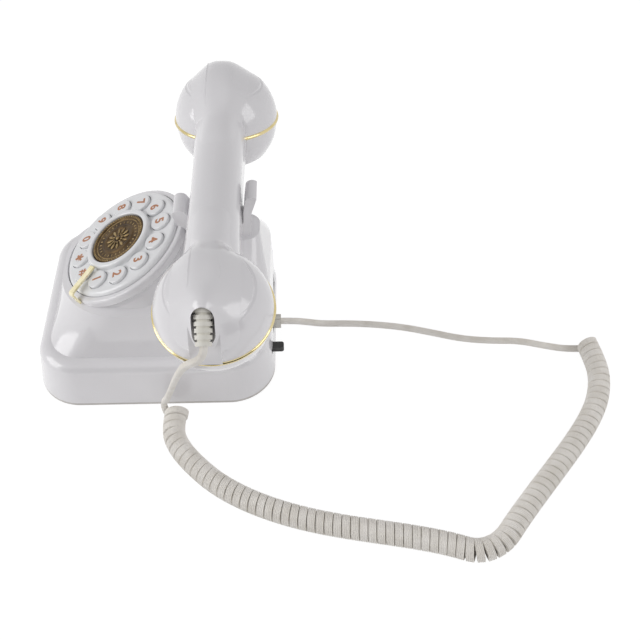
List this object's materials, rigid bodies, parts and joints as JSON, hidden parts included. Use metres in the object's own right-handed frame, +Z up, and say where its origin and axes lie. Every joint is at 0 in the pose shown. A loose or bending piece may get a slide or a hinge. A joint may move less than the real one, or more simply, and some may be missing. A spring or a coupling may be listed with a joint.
{
  "type": "desk telephone",
  "caption": "Retro desk telephone with a dial of round push buttons, a lift-off handset in a fork cradle and a curly cord on the table.",
  "frame": {"origin": "on the table under the middle of the telephone's box, without its cord", "axes": "+X along the handset towards the mouthpiece and its cord, +Y from the front to the rear, +Z up"},
  "size_m": [0.2918, 0.3586, 0.1415],
  "materials": {
    "white_plastic": "glossy injection moulding",
    "white_dial": "glossy injection moulding",
    "plate_plastic": "matt injection moulding",
    "gold_trim": "bright gold plating",
    "pale_brass": "polished brass strip",
    "bronze": "antique bronze casting",
    "black_plastic": "moulded black plastic",
    "rubber": "moulded rubber",
    "silicone": "moulded silicone",
    "ivory_vinyl": "moulded soft vinyl",
    "cord_vinyl": "ribbed vinyl cord",
    "clear_plastic": "clear moulded plug",
    "steel": "zinc plated",
    "circuit_board": "green solder mask"
  },
  "bodies": {
    "base": {"base_shell": "white_plastic", "bottom_plate": "plate_plastic", "rubber_feet": "rubber", "bottom_screws": "steel", "ballast_plate": "steel", "main_board": "circuit_board", "board_screws": "steel", "ringer_speaker": "steel", "cradle_fork": "white_plastic", "cradle_screws": "steel", "hook_switch": "black_plastic", "hook_spring": "steel", "dial_plate": "white_dial", "medallion": "bronze", "finger_stop": "pale_brass", "keypad_mat": "silicone", "keypad_board": "circuit_board", "keypad_screws": "steel", "switch_body": "black_plastic", "handset_jack": "black_plastic", "line_jack": "black_plastic", "cord_coil": "cord_vinyl", "cord_base_lead": "cord_vinyl", "cord_plug": "clear_plastic", "cord_handset_lead": "cord_vinyl"},
    "handset": {"handset_shell": "white_plastic", "ear_cap": "white_plastic", "mouth_cap": "white_plastic", "ear_ring": "gold_trim", "mouth_ring": "gold_trim", "receiver": "steel", "microphone": "steel", "mic_holder": "rubber", "strain_relief": "ivory_vinyl"},
    "hook_plunger": {"hook_plunger": "black_plastic"},
    "switch_knob": {"switch_knob": "black_plastic"},
    "key_1": {"key_1": "white_dial"},
    "key_2": {"key_2": "white_dial"},
    "key_3": {"key_3": "white_dial"},
    "key_4": {"key_4": "white_dial"},
    "key_5": {"key_5": "white_dial"},
    "key_6": {"key_6": "white_dial"},
    "key_7": {"key_7": "white_dial"},
    "key_8": {"key_8": "white_dial"},
    "key_9": {"key_9": "white_dial"},
    "key_0": {"key_0": "white_dial"},
    "key_star": {"key_star": "white_dial"},
    "key_hash": {"key_hash": "white_dial"}
  },
  "joints": [
    {"name": "handset_lift", "type": "slide", "parent": "base", "child": "handset", "axis": [0, 0, 1], "range_m": [0, 0.056], "deforming": ["cord_handset_lead"]},
    {"name": "hook_rise", "type": "slide", "parent": "base", "child": "hook_plunger", "axis": [0, 0, 1], "range_m": [0, 0.0045], "deforming": ["hook_spring"]},
    {"name": "ringer_slide", "type": "slide", "parent": "base", "child": "switch_knob", "axis": [1, 0, 0], "range_m": [-0.002, 0.002]},
    {"name": "press_1", "type": "slide", "parent": "base", "child": "key_1", "axis": [0, 0.4509, -0.8926], "range_m": [0, 0.002], "stiffness_N_per_m": 300, "springref_m": -0.002},
    {"name": "press_2", "type": "slide", "parent": "base", "child": "key_2", "axis": [0, 0.4509, -0.8926], "range_m": [0, 0.002], "stiffness_N_per_m": 300, "springref_m": -0.002},
    {"name": "press_3", "type": "slide", "parent": "base", "child": "key_3", "axis": [0, 0.4509, -0.8926], "range_m": [0, 0.002], "stiffness_N_per_m": 300, "springref_m": -0.002},
    {"name": "press_4", "type": "slide", "parent": "base", "child": "key_4", "axis": [0, 0.4509, -0.8926], "range_m": [0, 0.002], "stiffness_N_per_m": 300, "springref_m": -0.002},
    {"name": "press_5", "type": "slide", "parent": "base", "child": "key_5", "axis": [0, 0.4509, -0.8926], "range_m": [0, 0.002], "stiffness_N_per_m": 300, "springref_m": -0.002},
    {"name": "press_6", "type": "slide", "parent": "base", "child": "key_6", "axis": [0, 0.4509, -0.8926], "range_m": [0, 0.002], "stiffness_N_per_m": 300, "springref_m": -0.002},
    {"name": "press_7", "type": "slide", "parent": "base", "child": "key_7", "axis": [0, 0.4509, -0.8926], "range_m": [0, 0.002], "stiffness_N_per_m": 300, "springref_m": -0.002},
    {"name": "press_8", "type": "slide", "parent": "base", "child": "key_8", "axis": [0, 0.4509, -0.8926], "range_m": [0, 0.002], "stiffness_N_per_m": 300, "springref_m": -0.002},
    {"name": "press_9", "type": "slide", "parent": "base", "child": "key_9", "axis": [0, 0.4509, -0.8926], "range_m": [0, 0.002], "stiffness_N_per_m": 300, "springref_m": -0.002},
    {"name": "press_0", "type": "slide", "parent": "base", "child": "key_0", "axis": [0, 0.4509, -0.8926], "range_m": [0, 0.002], "stiffness_N_per_m": 300, "springref_m": -0.002},
    {"name": "press_star", "type": "slide", "parent": "base", "child": "key_star", "axis": [0, 0.4509, -0.8926], "range_m": [0, 0.002], "stiffness_N_per_m": 300, "springref_m": -0.002},
    {"name": "press_hash", "type": "slide", "parent": "base", "child": "key_hash", "axis": [0, 0.4509, -0.8926], "range_m": [0, 0.002], "stiffness_N_per_m": 300, "springref_m": -0.002}
  ],
  "couplings": [
    {"joint": "hook_rise", "follows": "handset_lift", "ratio": 0.08}
  ]
}
